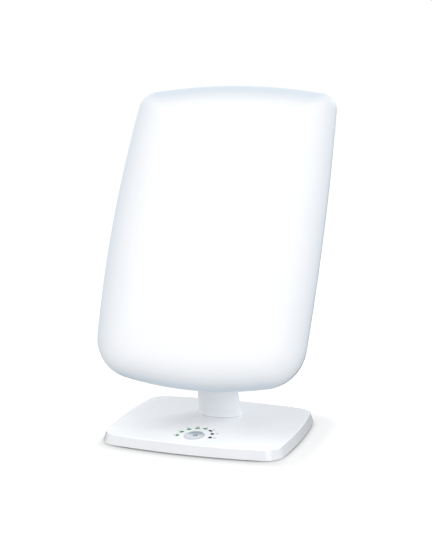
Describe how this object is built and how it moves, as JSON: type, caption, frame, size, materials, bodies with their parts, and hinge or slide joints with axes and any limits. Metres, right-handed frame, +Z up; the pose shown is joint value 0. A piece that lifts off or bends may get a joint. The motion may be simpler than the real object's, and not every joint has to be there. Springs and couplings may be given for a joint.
{
  "type": "light therapy lamp",
  "caption": "Free-standing light therapy lamp: tall opal light panel tilting on a short leaning neck over a low glossy base with an oval button inside an arc of timer lights.",
  "frame": {"origin": "centre of the bounding box at floor level, on the underside of the feet", "axes": "+Z up, -Y towards the side that the light faces, +X to the right of a person who looks along +Y at the lit face"},
  "size_m": [0.37, 0.3094, 0.5815],
  "materials": {
    "opal_diffuser": "smooth opal acrylic, lit evenly from behind",
    "housing_white": "semi-gloss white moulded shell",
    "base_white": "high-gloss white moulded cover",
    "neck_white": "satin-gloss white moulded shell",
    "base_grey": "fine-textured moulded plate",
    "button_silver": "silver-grey lacquered cap",
    "timer_light_lit": "clear light guide with its green light on",
    "timer_light_dark": "smoked light guide, light off",
    "rubber": "matt",
    "screw_steel": "zinc plated",
    "bracket_steel": "zinc plated sheet and bar",
    "cast_iron": "raw, rounded corners",
    "reflector": "bright white-lacquered sheet",
    "lamp_glass": "phosphor-coated tube",
    "lamp_cap_plastic": "moulded lamp base",
    "clip_plastic": "heat-resistant moulded plastic",
    "ballast_case": "moulded case",
    "friction_plastic": "acetal disc",
    "circuit_board": "solder-resist green",
    "led_body": "moulded",
    "black_plastic": "moulded",
    "board_plastic": "moulded terminal block",
    "transformer_core": "taped winding",
    "contact_metal": "nickel-plated pins"
  },
  "bodies": {
    "base": {"base_cover": "base_white", "base_plate": "base_grey", "rubber_feet": "rubber", "base_screws": "screw_steel", "counterweight_left": "cast_iron", "counterweight_right": "cast_iron", "neck_shell_front": "neck_white", "neck_shell_back": "neck_white", "neck_collar": "neck_white", "neck_core": "bracket_steel", "neck_screws": "screw_steel", "display_board": "circuit_board", "display_screws": "screw_steel", "timer_leds": "led_body", "start_switch": "black_plastic", "power_board": "circuit_board", "transformer": "transformer_core", "relay": "black_plastic", "terminal_block": "board_plastic", "inlet_housing": "black_plastic", "inlet_pins": "contact_metal", "timer_light_1": "timer_light_lit", "timer_light_2": "timer_light_lit", "timer_light_3": "timer_light_lit", "timer_light_4": "timer_light_lit", "timer_light_5": "timer_light_lit", "timer_light_6": "timer_light_dark", "timer_light_7": "timer_light_dark", "timer_light_8": "timer_light_dark"},
    "button": {"power_button": "button_silver", "switch_plunger": "black_plastic"},
    "head": {"diffuser_cover": "opal_diffuser", "rear_housing": "housing_white", "cover_screws": "screw_steel", "reflector_tray": "reflector", "tray_screws": "screw_steel", "lamp_clips": "clip_plastic", "ballast_left": "ballast_case", "ballast_right": "ballast_case", "hinge_bracket": "bracket_steel", "bracket_screws": "screw_steel", "hinge_pin": "bracket_steel", "friction_washers": "friction_plastic", "spring_washer": "bracket_steel", "hinge_nut": "screw_steel", "hinge_cover_left": "housing_white", "hinge_cover_right": "housing_white", "lamp_tube_1": "lamp_glass", "lamp_cap_1": "lamp_cap_plastic", "lamp_holder_1": "clip_plastic", "lamp_tube_2": "lamp_glass", "lamp_cap_2": "lamp_cap_plastic", "lamp_holder_2": "clip_plastic", "lamp_tube_3": "lamp_glass", "lamp_cap_3": "lamp_cap_plastic", "lamp_holder_3": "clip_plastic", "lamp_tube_4": "lamp_glass", "lamp_cap_4": "lamp_cap_plastic", "lamp_holder_4": "clip_plastic"}
  },
  "joints": [
    {"name": "panel_tilt", "type": "hinge", "parent": "base", "child": "head", "pos_m": [0, -0.0118, 0.1413], "axis": [1, 0, 0], "range_deg": [-15, 15]},
    {"name": "button_press", "type": "slide", "parent": "base", "child": "button", "axis": [0, 0, -1], "range_m": [0, 0.0006], "stiffness_N_per_m": 500, "springref_m": -0.002}
  ]
}
